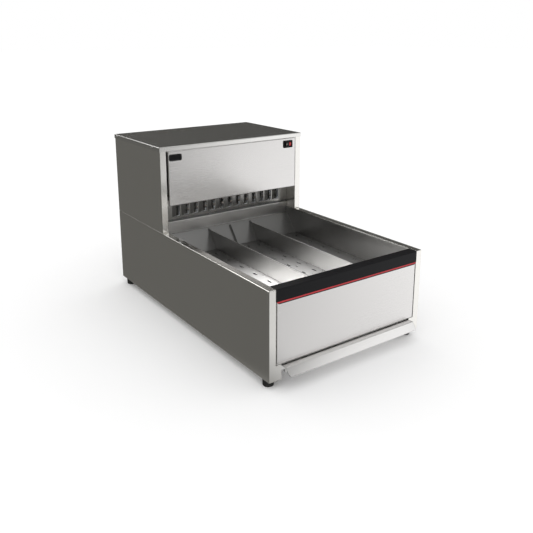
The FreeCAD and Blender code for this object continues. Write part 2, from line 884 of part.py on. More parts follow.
def make_louver_panel():
    """A sheet with upright windows, each with a vane pressed back behind it."""
    panel = sheet_box(
        (-rail_inner, rail_inner), (louver_face, louver_face + louver_flange),
        (deck_top, louver_top), "y+")
    low = deck_top + louver_window_rise
    high = low + louver_window_height
    first = -louver_pitch * (louver_count - 1) / 2
    windows = []
    vanes = []
    for number in range(louver_count):
        left = first + louver_pitch * number - louver_window_width / 2
        right = left + louver_window_width
        windows.append(block((left, right), (louver_face - cut_overrun, louver_face + sheet), (low, high)))
        corners = [
            point(left, louver_face, low), point(right, louver_face + louver_set_back, low),
            point(right, louver_face + louver_set_back + louver_vane_sheet, low),
            point(left, louver_face + sheet, low)]
        vanes.append(polygon(corners, point(0, 0, high - low)))
    return join([panel.cut(Part.makeCompound(windows))] + vanes)


# Badge plate and power switch

def make_badge_plate():
    left = -hood_panel_half_width + badge_edge_gap
    top = cover_flange_bottom + cover_flange - badge_top_drop - sheet
    x_range = (left, left + badge_width)
    z_range = (top - badge_height, top)
    plate = rounded_plate(
        x_range, (hood_panel_face - badge_thickness, hood_panel_face), z_range, badge_corner_radius)
    field = rounded_plate(
        (x_range[0] + badge_rim, x_range[1] - badge_rim),
        (hood_panel_face - badge_thickness - cut_overrun,
         hood_panel_face - badge_thickness + badge_rim_depth),
        (z_range[0] + badge_rim, z_range[1] - badge_rim), badge_corner_radius - badge_rim)
    return plate.cut(field)


def switch_window(inset):
    right = hood_panel_half_width - switch_edge_gap - inset
    left = hood_panel_half_width - switch_edge_gap - switch_width + inset
    top = hood_top + sheet - switch_top_drop - inset
    bottom = hood_top + sheet - switch_top_drop - switch_height + inset
    return (left, right), (bottom, top)


def rocker_pivot():
    x_range, z_range = switch_window(0)
    turn = math.radians(rocker_tilt)
    flush = rocker_face_rise * math.cos(turn) - rocker_half_length * math.sin(turn)
    return point(sum(x_range) / 2, hood_panel_face - switch_bezel_thickness + flush, sum(z_range) / 2)


def make_switch_housing():
    x_range, z_range = switch_window(0)
    bezel_front = hood_panel_face - switch_bezel_thickness
    bezel = rounded_plate(x_range, (bezel_front, hood_panel_face), z_range, switch_corner_radius)
    x_range, z_range = switch_window(switch_body_inset)
    body = block(x_range, (hood_panel_face, hood_panel_face + switch_body_depth), z_range)
    x_range, z_range = switch_window(switch_cavity_inset)
    cavity = block(x_range, (bezel_front - cut_overrun, bezel_front + switch_cavity_depth), z_range)
    pivot = rocker_pivot()
    reach = rocker_height / 2 + rocker_pin_length
    pins = rod(
        rocker_pin_radius + rocker_pin_clearance, pivot - point(0, 0, reach), point(0, 0, 1), 2 * reach)
    return join([bezel, body]).cut(cavity).cut(pins)


def rocker_profile(shift):
    """The rocker seen from above, around its pivot, with its face moved back by shift."""
    pivot = rocker_pivot()
    base = pivot - point(0, 0, rocker_height / 2)
    outline = [
        (-rocker_half_length, shift - rocker_face_rise),
        (0, shift - rocker_face_rise + rocker_valley),
        (rocker_half_length, shift - rocker_face_rise),
        (rocker_half_length, rocker_side_depth),
        (rocker_root_half_length, rocker_root_depth),
        (-rocker_root_half_length, rocker_root_depth),
        (-rocker_half_length, rocker_side_depth)]
    return polygon([base + point(x, y, 0) for x, y in outline], point(0, 0, rocker_height))


def lens_space():
    """The part of the rocker's face that its lens takes."""
    pivot = rocker_pivot()
    body = rocker_profile(0).cut(rocker_profile(lens_thickness))
    reach = rocker_height / 2 - lens_margin
    window = block(
        (pivot.x + lens_start, pivot.x + rocker_half_length - lens_margin),
        (pivot.y - body_depth, pivot.y + body_depth), (pivot.z - reach, pivot.z + reach))
    return body.common(window)


def tilted(shape):
    turned = shape.copy()
    turned.rotate(rocker_pivot(), point(0, 0, 1), rocker_tilt)
    return turned


def make_power_rocker():
    pivot = rocker_pivot()
    reach = rocker_height / 2 + rocker_pin_length - rocker_pin_clearance
    pin = rod(rocker_pin_radius, pivot - point(0, 0, reach), point(0, 0, 1), 2 * reach)
    return tilted(join([rocker_profile(0), pin]).cut(lens_space()))


def make_rocker_lens():
    return tilted(lens_space())


# Blower deck, duct and heating element

def make_blower_deck():
    foot_level = base_height + 2 * sheet
    outline = [
        (deck_half_width + deck_foot, foot_level), (deck_half_width, foot_level),
        (deck_half_width, deck_top), (-deck_half_width, deck_top),
        (-deck_half_width, foot_level), (-deck_half_width - deck_foot, foot_level)]
    front = bulkhead_face + bulkhead_flange + deck_gap
    back = back_inside - sheet - deck_gap
    deck = folded_strip(
        outline, sheet, bend_radius - sheet, in_xz(front), point(0, back - front, 0))
    tongue_half = deck_half_width - bend_radius
    tongue = block(
        (-tongue_half, tongue_half), (bulkhead_face + deck_gap, front + bend_radius),
        (deck_top - sheet, deck_top))
    deck = join([deck, tongue])
    inlet = point(0, blower_y, deck_top - sheet)
    return drilled(deck, [inlet], point(0, 0, 1), inlet_radius, sheet)


def outlet_range():
    """The blower's outlet along X, outside its walls."""
    return (blower_radius - outlet_width, blower_radius)


def make_heater_duct():
    duct = sheet_box((-rail_inner, rail_inner), (duct_front, duct_back), (deck_top, louver_top), "y-")
    left, right = outlet_range()
    outlet = block(
        (left + blower_wall, right - blower_wall), (duct_back - sheet - cut_overrun, duct_back + sheet),
        (deck_top + blower_wall, deck_top + blower_height - blower_wall))
    duct = duct.cut(outlet)
    holes = [
        point(probe_x, duct_front + probe_set_back, louver_top),
        point(limit_x, duct_front + limit_set_back, louver_top)]
    duct = drilled(duct, holes[:1], point(0, 0, -1), probe_radius, sheet)
    return drilled(duct, holes[1:], point(0, 0, -1), limit_radius, sheet)


def element_levels():
    first = deck_top + element_bottom_rise
    return [first + element_pitch * number for number in range(element_runs)]


def make_heating_element():
    """One tube that runs to and fro behind the louvres, with both ends on the right."""
    y = duct_front + element_set_back
    levels = element_levels()
    pieces = []
    for number, level in enumerate(levels):
        is_end = number in (0, element_runs - 1)
        right = element_half_length + (element_tail if is_end else 0)
        length = element_half_length + right
        start = point(-element_half_length, y, level)
        pieces.append(rod(element_radius, start, point(1, 0, 0), length))
    for number in range(element_runs - 1):
        side = -1 if number % 2 == 0 else 1
        centre = point(side * element_half_length, y, (levels[number] + levels[number + 1]) / 2)
        bend = Part.makeTorus(element_pitch / 2, element_radius, centre, point(0, 1, 0))
        reach = element_pitch / 2 + element_radius + cut_overrun
        half = block(
            (min(centre.x, centre.x + side * reach), max(centre.x, centre.x + side * reach)),
            (y - reach, y + reach), (centre.z - reach, centre.z + reach))
        pieces.append(bend.common(half))
    return join(pieces)


def make_heater_brackets():
    y = duct_front + element_set_back
    brackets = []
    for x in (-bracket_offset, bracket_offset):
        plate = block(
            (x - sheet / 2, x + sheet / 2), (y - bracket_depth / 2, y + bracket_depth / 2),
            (deck_top + sheet, louver_top - sheet))
        holes = [point(x - sheet / 2, y, level) for level in element_levels()]
        plate = drilled(plate, holes, point(1, 0, 0), element_radius + bracket_slack, sheet)
        brackets.append(plate)
    return Part.makeCompound(brackets)


# Blower

def make_blower_housing():
    top = deck_top + blower_height
    left, right = outlet_range()

    def form(inset, overrun):
        bottom = deck_top + inset
        height = blower_height - 2 * inset
        drum = rod(blower_radius - inset, point(0, blower_y, bottom), point(0, 0, 1), height)
        outlet = block(
            (left + inset, right - inset), (duct_back - overrun, blower_y), (bottom, top - inset))
        return join([drum, outlet])

    housing = form(0, 0).cut(form(blower_wall, cut_overrun))
    floor_centre = point(0, blower_y, deck_top)
    housing = drilled(housing, [floor_centre], point(0, 0, 1), inlet_radius, blower_wall - cut_overrun)
    lid_centre = point(0, blower_y, top)
    return drilled(
        housing, [lid_centre], point(0, 0, -1), shaft_radius + shaft_hole_clearance,
        blower_wall - cut_overrun)


def wheel_bottom():
    return deck_top + blower_wall + wheel_floor_gap


def make_blower_wheel():
    """A squirrel cage: a lower ring, upright blades and a closed top plate with a hub."""
    bottom = wheel_bottom()
    axis = point(0, 0, 1)
    centre = point(0, blower_y, bottom)
    inner = wheel_radius - wheel_ring_width
    ring = rod(wheel_radius, centre, axis, wheel_plate).cut(
        rod(inner, centre - axis * cut_overrun, axis, wheel_plate + 2 * cut_overrun))
    plate_bottom = centre + axis * (wheel_height - wheel_plate)
    plate = rod(wheel_radius, plate_bottom, axis, wheel_plate)
    hub = rod(hub_radius, centre + axis * (wheel_height - hub_height), axis, hub_height)
    blades = []
    for number in range(wheel_blade_count):
        middle = (wheel_radius + inner) / 2
        half_length = wheel_ring_width / 2 - wheel_blade_sheet / 2
        blade = block(
            (middle - half_length, middle + half_length),
            (-wheel_blade_sheet / 2, wheel_blade_sheet / 2), (0, wheel_height - wheel_plate))
        blade.rotate(point(middle, 0, 0), axis, wheel_blade_angle)
        blade.rotate(point(0, 0, 0), axis, math.degrees(2 * math.pi * number / wheel_blade_count))
        blade.translate(centre)
        blades.append(blade)
    wheel = join([plate, hub, ring] + blades)
    bore = rod(
        shaft_radius + shaft_clearance, centre - axis * cut_overrun, axis, wheel_height + 2 * cut_overrun)
    return wheel.cut(bore)


def make_blower_motor():
    axis = point(0, 0, 1)
    seat = point(0, blower_y, deck_top + blower_height)
    foot = rod(motor_foot_radius, seat, axis, motor_foot_thickness)
    body = rod(motor_radius, seat + axis * motor_foot_thickness, axis, motor_height)
    cap_seat = seat + axis * (motor_foot_thickness + motor_height)
    cap = rod(motor_cap_radius, cap_seat, axis, motor_cap_height)
    shaft_end = wheel_bottom() + wheel_height - hub_height
    shaft = rod(shaft_radius, point(0, blower_y, shaft_end), axis, seat.z - shaft_end)
    return join([foot, body, cap, shaft])


# Controls and connections

def make_temperature_probe():
    seat = point(probe_x, duct_front + probe_set_back, louver_top)
    nut = rod(probe_nut_radius, seat, point(0, 0, 1), probe_nut_height)
    return join([nut, rod(probe_radius, seat, point(0, 0, -1), probe_length)])


def make_high_limit_switch():
    seat = point(limit_x, duct_front + limit_set_back, louver_top)
    can = rod(limit_radius, seat - point(0, 0, sheet), point(0, 0, 1), limit_height + sheet)
    ear = block(
        (seat.x - limit_ear_length / 2, seat.x + limit_ear_length / 2),
        (seat.y - limit_ear_width / 2, seat.y + limit_ear_width / 2), (seat.z, seat.z + sheet))
    return join([can, ear])


def make_thermostat():
    body = block(
        (thermostat_x - thermostat_length / 2, thermostat_x + thermostat_length / 2),
        (thermostat_y - thermostat_depth / 2, thermostat_y + thermostat_depth / 2),
        (deck_top, deck_top + thermostat_height))
    body = round_edges(body, bend_radius, lambda edge: off_plane(edge, 2, deck_top))
    shaft_seat = point(thermostat_x, thermostat_y, deck_top + thermostat_height)
    return join([body, rod(thermostat_shaft_radius, shaft_seat, point(0, 0, 1), thermostat_shaft_length)])


def make_terminal_block():
    left = terminal_x - terminal_length / 2
    front = blower_y - terminal_depth / 2
    body = block(
        (left, left + terminal_length), (front, front + terminal_depth),
        (deck_top, deck_top + terminal_height))
    cell = (terminal_length - terminal_wall) / terminal_poles
    pieces = []
    pockets = []
    for number in range(terminal_poles):
        start = left + terminal_wall + cell * number
        pocket_floor = deck_top + terminal_height / 2
        pockets.append(block(
            (start, start + cell - terminal_wall),
            (front - cut_overrun, front + terminal_depth + cut_overrun),
            (pocket_floor, deck_top + terminal_height + cut_overrun)))
        middle = point(start + (cell - terminal_wall) / 2, blower_y, pocket_floor)
        pieces.append(rod(terminal_screw_radius, middle, point(0, 0, 1), terminal_screw_height))
    return join([body.cut(Part.makeCompound(pockets))] + pieces)


def gland_place():
    return point(gland_x, back_inside, base_height + gland_rise)


def make_cable_gland():
    seat = gland_place()
    outward = point(0, 1, 0)
    inner_face = seat - outward * sheet
    flange = rod(gland_flange_radius, seat, outward, gland_flange_thickness)
    thread = rod(gland_thread_radius, inner_face, outward, sheet)
    nut = rod(gland_nut_radius, inner_face, outward * -1, gland_nut_thickness)
    gland = join([flange, thread, nut])
    length = gland_flange_thickness + sheet + gland_nut_thickness
    start = inner_face - outward * gland_nut_thickness
    return drilled(gland, [start], outward, gland_bore_radius, length)


# Assembly

def all_pieces():
    pieces = {}
    pairs = [
        ("base_side", make_base_side), ("pan_ledge", make_pan_ledge), ("side_insulation", make_insulation),
        ("tray_runner", make_tray_runner), ("hood_side", make_hood_side)]
    for name, maker in pairs:
        right = maker()
        pieces[name + "_right"] = right
        pieces[name + "_left"] = mirrored(right)
    for side, x in zip(("left", "right"), divider_places()):
        pieces["pan_divider_" + side] = make_divider(x)
    singles = [
        ("rubber_feet", make_rubber_feet), ("foot_bolts", make_foot_bolts),
        ("base_front_panel", make_base_front_panel), ("front_cross_rail", make_front_cross_rail),
        ("front_trim_cap", make_front_trim_cap), ("red_stripe", make_red_stripe),
        ("base_back_panel", make_base_back_panel), ("rear_floor", make_rear_floor),
        ("bulkhead", make_bulkhead), ("product_pan", make_product_pan),
        ("perforated_floor", make_perforated_floor), ("divider_guides", make_divider_guides),
        ("crumb_tray", make_crumb_tray), ("tray_lip", make_tray_lip),
        ("hood_top_cover", make_hood_cover),
        ("cover_screws", make_cover_screws), ("back_panel_screws", make_back_screws),
        ("hood_front_panel", make_hood_front_panel), ("hood_top_crossbar", make_top_crossbar),
        ("hood_bottom_crossbar", make_bottom_crossbar), ("hood_back_panel", make_hood_back_panel),
        ("louver_panel", make_louver_panel), ("badge_plate", make_badge_plate),
        ("switch_housing", make_switch_housing), ("power_rocker", make_power_rocker),
        ("rocker_lens", make_rocker_lens), ("blower_deck", make_blower_deck),
        ("heater_duct", make_heater_duct), ("heating_element", make_heating_element),
        ("heater_brackets", make_heater_brackets), ("blower_housing", make_blower_housing),
        ("blower_wheel", make_blower_wheel), ("blower_motor", make_blower_motor),
        ("temperature_probe", make_temperature_probe), ("high_limit_switch", make_high_limit_switch),
        ("thermostat", make_thermostat), ("terminal_block", make_terminal_block),
        ("cable_gland", make_cable_gland)]
    for name, maker in singles:
        pieces[name] = maker()
    return pieces


def move_to_origin():
    """From the building frame to the frame with its origin under the middle of the object."""
    front = -lip_ledge - lip_run
    back = back_inside + gland_flange_thickness
    return point(0, -(front + back) / 2, foot_height)


def main():
    os.makedirs("parts", exist_ok=True)
    shift = move_to_origin()
    for name, shape in sorted(all_pieces().items()):
        placed = shape.copy()
        placed.translate(shift)
        placed.exportStep("parts/" + name + ".step")


main()
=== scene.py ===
import json
import math

import bmesh
import bpy
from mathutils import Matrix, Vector


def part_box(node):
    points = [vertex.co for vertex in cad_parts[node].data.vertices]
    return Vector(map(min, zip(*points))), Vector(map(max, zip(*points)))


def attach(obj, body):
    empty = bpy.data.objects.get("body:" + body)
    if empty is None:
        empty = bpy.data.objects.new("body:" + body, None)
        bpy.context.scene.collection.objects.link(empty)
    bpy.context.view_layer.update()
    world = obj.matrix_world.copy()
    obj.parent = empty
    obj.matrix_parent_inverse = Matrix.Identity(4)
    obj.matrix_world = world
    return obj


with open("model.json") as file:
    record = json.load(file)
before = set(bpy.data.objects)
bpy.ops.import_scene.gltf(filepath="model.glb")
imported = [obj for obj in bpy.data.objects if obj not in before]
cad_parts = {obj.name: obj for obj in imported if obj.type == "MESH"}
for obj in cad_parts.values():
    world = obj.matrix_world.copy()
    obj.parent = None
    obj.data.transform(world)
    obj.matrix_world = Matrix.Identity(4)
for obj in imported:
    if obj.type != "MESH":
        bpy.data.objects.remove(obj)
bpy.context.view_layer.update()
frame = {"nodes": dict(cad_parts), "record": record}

# Camera, at the photo's viewing angle
camera_place = (-0.9590, -1.3932, 0.7534)
camera_turn_degrees = -35.358
camera_drop_degrees = 14.049
camera_lens = 43.122
camera_shift = -0.1341

# Studio as the steel reflects it, in linear brightness, with where each tone starts and where it is full
backdrop_white = 1.0
dark_left = 0.125
dark_right = 0.085
left_to_right_fade = (-0.5, 0.5)
bright_side = 1.05
bright_side_direction = (0.87, -0.50, 0.0)
bright_side_fade = (0.77, 0.93)
raised_share = 0.42
raised_fade = (0.02, 0.25)
overhead_glow = 0.85
overhead_fade = (0.62, 0.80)
lamp_glow = 2.5
lamp_direction = (0.03, 0.76, 0.65)
lamp_fade = (0.92, 0.97)
dark_tint = (1.0, 0.985, 0.925)
plain_white = (1.0, 1.0, 1.0)
neutral_tone = 0.45

# Floor, with the glow that the steel reflects: brighter ahead and to the right, and weaker beside the back
floor_size = 60.0
floor_tone = 0.98
floor_ahead_direction = (0.80, 0.60, 0.0)
floor_ahead_fade = (-1.35, 0.04)
floor_right_fade = (-0.32, 0.0)
floor_back_share = 0.62
floor_back_fade = (-0.45, -0.10)

# Lit card in front, which only shows as a reflection
reflector_place = (0.88, -1.33, 0.71)
reflector_target = (0.0, -0.40, 0.04)
reflector_size = (1.6, 0.5)
reflector_glow = 1.15
reflector_full_glow_at = 0.5

# Lights
sun_power = 0.35
sun_width_degrees = 50.0
sun_tilt_degrees = 38.0
sun_turn_degrees = -20.0
softbox_place = (-0.11, 0.05, 0.75)
softbox_target = (-0.11, -0.235, 0.16)
softbox_size = (0.30, 0.20)
softbox_spread_degrees = 28.0
softbox_power = 1.0
softbox_nodes = ("perforated_floor",)
duct_lamp_place = (0.0, 0.185, 0.312)
duct_lamp_size = (0.40, 0.02)
duct_lamp_tilt_degrees = 35.0
duct_lamp_power = 0.17

# Brushed sheet, with its noise per metre across and along the grain
fine_grain = (2600.0, 14.0)
broad_grain = (60.0, 1.2)
steel_clouds = 5.0
grain_roughness = 0.014
grain_relief = 0.00003
grain_relief_strength = 0.005
# Steel's folds and cut edges get a lighter tone, partly wear and partly a painted fold highlight
steel_edge_radius = 0.0012
steel_edge_wear_and_highlight = (0.92, 0.92, 0.91)

# Where along y the pan and its dividers start to darken with painted shade towards the back, under the hood,
# and where they are darkest
back_shade_start_line = -0.16
back_shade_full_line = 0.08

# Printed switch marks
mark_clearance = 0.01
mark_lift = 0.00004
mark_thickness = 0.00006
mark_stroke = 0.0005
mark_steps = 24
off_mark_set_in = 0.0062
off_mark_radius = 0.0021
on_mark_height = 0.0046


# Node helpers

def add_node(tree, kind, **settings):
    node = tree.nodes.new(kind)
    for key, value in settings.items():
        setattr(node, key, value)
    return node


def even(scale):
    """The same scale along all three axes."""
    return (scale, scale, scale)


def scaled(color, factor):
    return tuple(min(1.0, channel * factor) for channel in color)


def place_in_object(tree, scale):
    """The object's own coordinates, in metres, stretched by scale along each axis."""
    coordinates = add_node(tree, "ShaderNodeTexCoord")
    mapping = add_node(tree, "ShaderNodeMapping")
    mapping.inputs["Scale"].default_value = scale
    tree.links.new(coordinates.outputs["Object"], mapping.inputs["Vector"])
    return mapping.outputs["Vector"]


def split(tree, vector):
    """The sockets X, Y and Z of a vector."""
    separate = add_node(tree, "ShaderNodeSeparateXYZ")
    tree.links.new(vector, separate.inputs["Vector"])
    return separate.outputs


def reach_along(tree, vector, direction):
    """How far a vector reaches along a direction."""
    dot = add_node(tree, "ShaderNodeVectorMath", operation="DOT_PRODUCT")
    dot.inputs[1].default_value = direction
    tree.links.new(vector, dot.inputs[0])
    return dot.outputs["Value"]


def noise(tree, scale, detail=3.0, roughness=0.55):
    """Noise over the object, with about scale features per metre along each axis."""
    texture = add_node(tree, "ShaderNodeTexNoise")
    texture.inputs["Scale"].default_value = 1.0
    texture.inputs["Detail"].default_value = detail
    texture.inputs["Roughness"].default_value = roughness
    tree.links.new(place_in_object(tree, scale), texture.inputs["Vector"])
    return texture.outputs["Fac"]


def spread(tree, value, low, high, start=0.3, stop=0.7):
    """Maps a value between start and stop to the range from low to high.

    The defaults are the range in which noise varies."""
    node = add_node(tree, "ShaderNodeMapRange")
    node.inputs["From Min"].default_value = start
    node.inputs["From Max"].default_value = stop
    node.inputs["To Min"].default_value = low
    node.inputs["To Max"].default_value = high
    tree.links.new(value, node.inputs["Value"])
    return node.outputs["Result"]


def arithmetic(tree, operation, first, second):
    """A sum, product, lowest or highest of two values, each a number or a socket."""
    node = add_node(tree, "ShaderNodeMath", operation=operation)
    for socket, value in zip(node.inputs, (first, second)):
        if isinstance(value, (int, float)):
            socket.default_value = value
        else:
            tree.links.new(value, socket)
    return node.outputs["Value"]


def highest(tree, first, *others):
    for other in others:
        first = arithmetic(tree, "MAXIMUM", first, other)
    return first


def mix_colors(tree, share, first, second):
    """The first colour where share is 0 and the second where it is 1; each is a colour or a socket."""
    node = add_node(tree, "ShaderNodeMix", data_type="RGBA")
    tree.links.new(share, node.inputs["Factor"])
    for name, color in (("A", first), ("B", second)):
        socket = [s for s in node.inputs if s.name == name and s.type == "RGBA"][0]
        if isinstance(color, tuple):
            socket.default_value = color + (1.0,)
        else:
            tree.links.new(color, socket)
    return [s for s in node.outputs if s.type == "RGBA"][0]


def mix_numbers(tree, share, first, second):
    """The number first where share is 0 and the socket second where it is 1."""
    node = add_node(tree, "ShaderNodeMix", data_type="FLOAT")
    tree.links.new(share, node.inputs["Factor"])
    node.inputs["A"].default_value = first
    tree.links.new(second, node.inputs["B"])
    return node.outputs["Result"]


# Finish helpers

def new_finish(name):
    """A material with one Principled shader, which is given back with the node tree."""
    material = bpy.data.materials.new(name)
    material.use_nodes = True
    tree = material.node_tree
    return material, tree, tree.nodes["Principled BSDF"]


def set_surface(tree, shader, color, roughness, metallic=0.0, shine=0.5):
    """Gives a shader its colour and roughness, which are sockets, and how metallic and shiny it is."""
    tree.links.new(color, shader.inputs["Base Color"])
    tree.links.new(roughness, shader.inputs["Roughness"])
    shader.inputs["Metallic"].default_value = metallic
    shader.inputs["Specular IOR Level"].default_value = shine


def add_bump(tree, shader, height, strength, distance, rounding=0.0):
    """Relief by a height, on edges that look rounded by the radius rounding."""
    bump = add_node(tree, "ShaderNodeBump")
    bump.inputs["Strength"].default_value = strength
    bump.inputs["Distance"].default_value = distance
    if rounding:
        bevel = add_node(tree, "ShaderNodeBevel", samples=4)
        bevel.inputs["Radius"].default_value = rounding
        tree.links.new(bevel.outputs["Normal"], bump.inputs["Normal"])
    tree.links.new(height, bump.inputs["Height"])
    tree.links.new(bump.outputs["Normal"], shader.inputs["Normal"])


def edge_share(tree, radius):
    """0 on flat surfaces and towards 1 on folds and cut edges that are tighter than radius."""
    bevel = add_node(tree, "ShaderNodeBevel", samples=4)
    bevel.inputs["Radius"].default_value = radius
    geometry = add_node(tree, "ShaderNodeNewGeometry")
    dot = add_node(tree, "ShaderNodeVectorMath", operation="DOT_PRODUCT")
    tree.links.new(bevel.outputs["Normal"], dot.inputs[0])
    tree.links.new(geometry.outputs["Normal"], dot.inputs[1])
    return spread(tree, dot.outputs["Value"], 1.0, 0.0, start=0.90, stop=0.995)


def rub_edges(tree, base, rubbed, wear, radius):
    """Mixes a rubbed colour into folds and cut edges that are tighter than radius."""
    share = arithmetic(tree, "MULTIPLY", edge_share(tree, radius), wear)
    return mix_colors(tree, share, base, rubbed)


def mottle(tree, clouds, tone, darkest=0.85, lightest=1.2):
    """A tone that clouds make darker and lighter, by these factors."""
    return mix_colors(tree, clouds, scaled(tone, darkest), scaled(tone, lightest))


def grain_scale(axis, across, along):
    """Noise scales that draw noise out into lines along one axis."""
    return tuple(along if letter == axis else across for letter in "xyz")


# Finishes

def brushed_steel(name, tone, roughness, grain, streaks=0.07, wear=0.25, painted_back_shade=1.0, rounding=0.0017):
    """Brushed stainless sheet: fine lines along the grain's axis, faint clouds, and lighter edges that are
    partly rubbed and partly a painted fold highlight.

    A back shade factor below 1 darkens it towards the warm air's mouth at the back, as painted shade under
    the hood."""
    material, tree, shader = new_finish(name)
    fine = noise(tree, grain_scale(grain, *fine_grain), detail=2.0, roughness=0.7)
    bands = noise(tree, grain_scale(grain, *broad_grain), detail=3.0, roughness=0.6)
    clouds = noise(tree, even(steel_clouds), detail=2.0, roughness=0.5)
    light = scaled(tone, 1.0 + streaks)
    dark = scaled(tone, 1.0 - streaks)
    lines = mix_colors(tree, fine, dark, light)
    banded = mix_colors(tree, spread(tree, bands, low=0.0, high=0.4), lines, light)
    # Lighter folds and edges: partly wear, partly a painted highlight
    color = rub_edges(tree, banded, steel_edge_wear_and_highlight, wear, steel_edge_radius)
    # Painted shade: darker towards the back of the pan, where the hood shades it
    if painted_back_shade < 1.0:
        place = split(tree, place_in_object(tree, even(1.0)))
        back_shade_share = spread(tree, place["Y"], low=0.0, high=1.0, start=back_shade_start_line, stop=back_shade_full_line)
        color = mix_colors(tree, back_shade_share, color, scaled(tone, painted_back_shade))
    rough_lines = spread(tree, fine, roughness - grain_roughness, roughness + grain_roughness)
    rough_clouds = spread(tree, clouds, low=-0.015, high=0.02)
    set_surface(tree, shader, color, arithmetic(tree, "ADD", rough_lines, rough_clouds), metallic=1.0)
    add_bump(tree, shader, fine, grain_relief_strength, grain_relief, rounding)
    return material


def zinc_sheet(name):
    """Galvanised sheet with its crystal pattern."""
    material, tree, shader = new_finish(name)
    cells = add_node(tree, "ShaderNodeTexVoronoi")
    cells.inputs["Scale"].default_value = 1.0
    tree.links.new(place_in_object(tree, even(90.0)), cells.inputs["Vector"])
    grey = add_node(tree, "ShaderNodeRGBToBW")
    tree.links.new(cells.outputs["Color"], grey.inputs["Color"])
    dark_crystal = (0.42, 0.43, 0.44)
    light_crystal = (0.60, 0.61, 0.62)
    spangle = spread(tree, grey.outputs["Val"], low=0.0, high=1.0, start=0.1, stop=0.9)
    color = mix_colors(tree, spangle, dark_crystal, light_crystal)
    roughness = spread(tree, grey.outputs["Val"], low=0.34, high=0.52, start=0.1, stop=0.9)
    set_surface(tree, shader, color, roughness, metallic=1.0)
    return material


def plated_metal(name, tone, roughness):
    """Plated or cast metal with faint stains."""
    material, tree, shader = new_finish(name)
    stains = noise(tree, even(220.0), detail=4.0)
    color = mottle(tree, stains, tone, darkest=0.8, lightest=1.1)
    rough = spread(tree, stains, low=roughness - 0.05, high=roughness + 0.1)
    set_surface(tree, shader, color, rough, metallic=1.0)
    add_bump(tree, shader, stains, strength=0.05, distance=0.00005)
    return material


def oxidised_sheath(name):
    """A heating element's sheath, browned where it has been hot."""
    material, tree, shader = new_finish(name)
    blotches = noise(tree, (28.0, 60.0, 60.0), detail=4.0, roughness=0.7)
    burnt = (0.07, 0.065, 0.06)
    browned = (0.18, 0.155, 0.135)
    color = mix_colors(tree, blotches, burnt, browned)
    set_surface(tree, shader, color, spread(tree, blotches, low=0.4, high=0.65), metallic=0.8)
    return material


def black_paint(name, tone, roughness, shine=0.5):
    """Baked black paint with a faint orange peel and lighter rubbed edges."""
    material, tree, shader = new_finish(name)
    clouds = noise(tree, even(14.0), detail=4.0)
    peel = noise(tree, even(420.0), detail=2.0)
    rubbed = (0.30, 0.30, 0.30)
    color = rub_edges(tree, mottle(tree, clouds, tone), rubbed, wear=0.25, radius=0.0008)
    rough = spread(tree, clouds, low=roughness - 0.04, high=roughness + 0.07)
    set_surface(tree, shader, color, rough, shine=shine)
    add_bump(tree, shader, peel, strength=0.08, distance=0.0001)
    return material


def moulded_plastic(name, tone, roughness, shine=0.5):
    """Moulded plastic with a fine spark-eroded grain."""
    material, tree, shader = new_finish(name)
    grain = noise(tree, even(1800.0), detail=2.0)
    clouds = noise(tree, even(30.0), detail=3.0)
    rubbed = scaled(tone, 3.0)
    color = rub_edges(tree, mottle(tree, clouds, tone), rubbed, wear=0.3, radius=0.0006)
    rough = spread(tree, clouds, low=roughness - 0.05, high=roughness + 0.07)
    set_surface(tree, shader, color, rough, shine=shine)
    add_bump(tree, shader, grain, strength=0.2, distance=0.00005)
    return material


def soft_rubber(name):
    """Moulded rubber with dust in its pores."""
    material, tree, shader = new_finish(name)
    pores = noise(tree, even(900.0), detail=3.0)
    dust = noise(tree, even(60.0), detail=4.0, roughness=0.7)
    clean_rubber = (0.012, 0.012, 0.012)
    dusty_rubber = (0.055, 0.053, 0.05)
    dust_share = spread(tree, dust, low=0.0, high=0.6, start=0.45, stop=0.8)
    color = mix_colors(tree, dust_share, clean_rubber, dusty_rubber)
    set_surface(tree, shader, color, spread(tree, dust, low=0.62, high=0.85))
    add_bump(tree, shader, pores, strength=0.3, distance=0.0001)
    return material


def red_film(name):
    """Thin red film with a slightly uneven colour."""
    material, tree, shader = new_finish(name)
    clouds = noise(tree, (40.0, 8.0, 8.0), detail=3.0)
    deep_red = (0.36, 0.022, 0.030)
    light_red = (0.50, 0.040, 0.048)
    color = mix_colors(tree, clouds, deep_red, light_red)
    set_surface(tree, shader, color, spread(tree, clouds, low=0.28, high=0.42), shine=0.3)
    return material


def lit_lens(name):
    """The switch's red lens, with ribs inside it and a lamp behind."""
    material, tree, shader = new_finish(name)
    wave = add_node(tree, "ShaderNodeTexWave", bands_direction="Z")
    wave.inputs["Scale"].default_value = 1.0
    tree.links.new(place_in_object(tree, even(260.0)), wave.inputs["Vector"])
    ribs = wave.outputs["Fac"]
    between_ribs = (0.30, 0.004, 0.010)
    on_ribs = (0.44, 0.012, 0.018)
    color = mix_colors(tree, ribs, between_ribs, on_ribs)
    rough = spread(tree, ribs, low=0.16, high=0.28, start=0.0, stop=1.0)
    set_surface(tree, shader, color, rough, shine=0.2)
    shader.inputs["Emission Color"].default_value = (0.9, 0.01, 0.02, 1.0)
    shader.inputs["Emission Strength"].default_value = 0.03
    return material


def mineral_wool(name):
    """Pressed mineral wool, with its fibres mostly along one way."""
    material, tree, shader = new_finish(name)
    fibres = noise(tree, (500.0, 90.0, 500.0), detail=5.0, roughness=0.8)
    deep_fibres = (0.48, 0.43, 0.30)
    top_fibres = (0.80, 0.76, 0.62)
    color = mix_colors(tree, fibres, deep_fibres, top_fibres)
    set_surface(tree, shader, color, spread(tree, fibres, low=0.8, high=0.98))
    add_bump(tree, shader, fibres, strength=0.8, distance=0.0006)
    return material


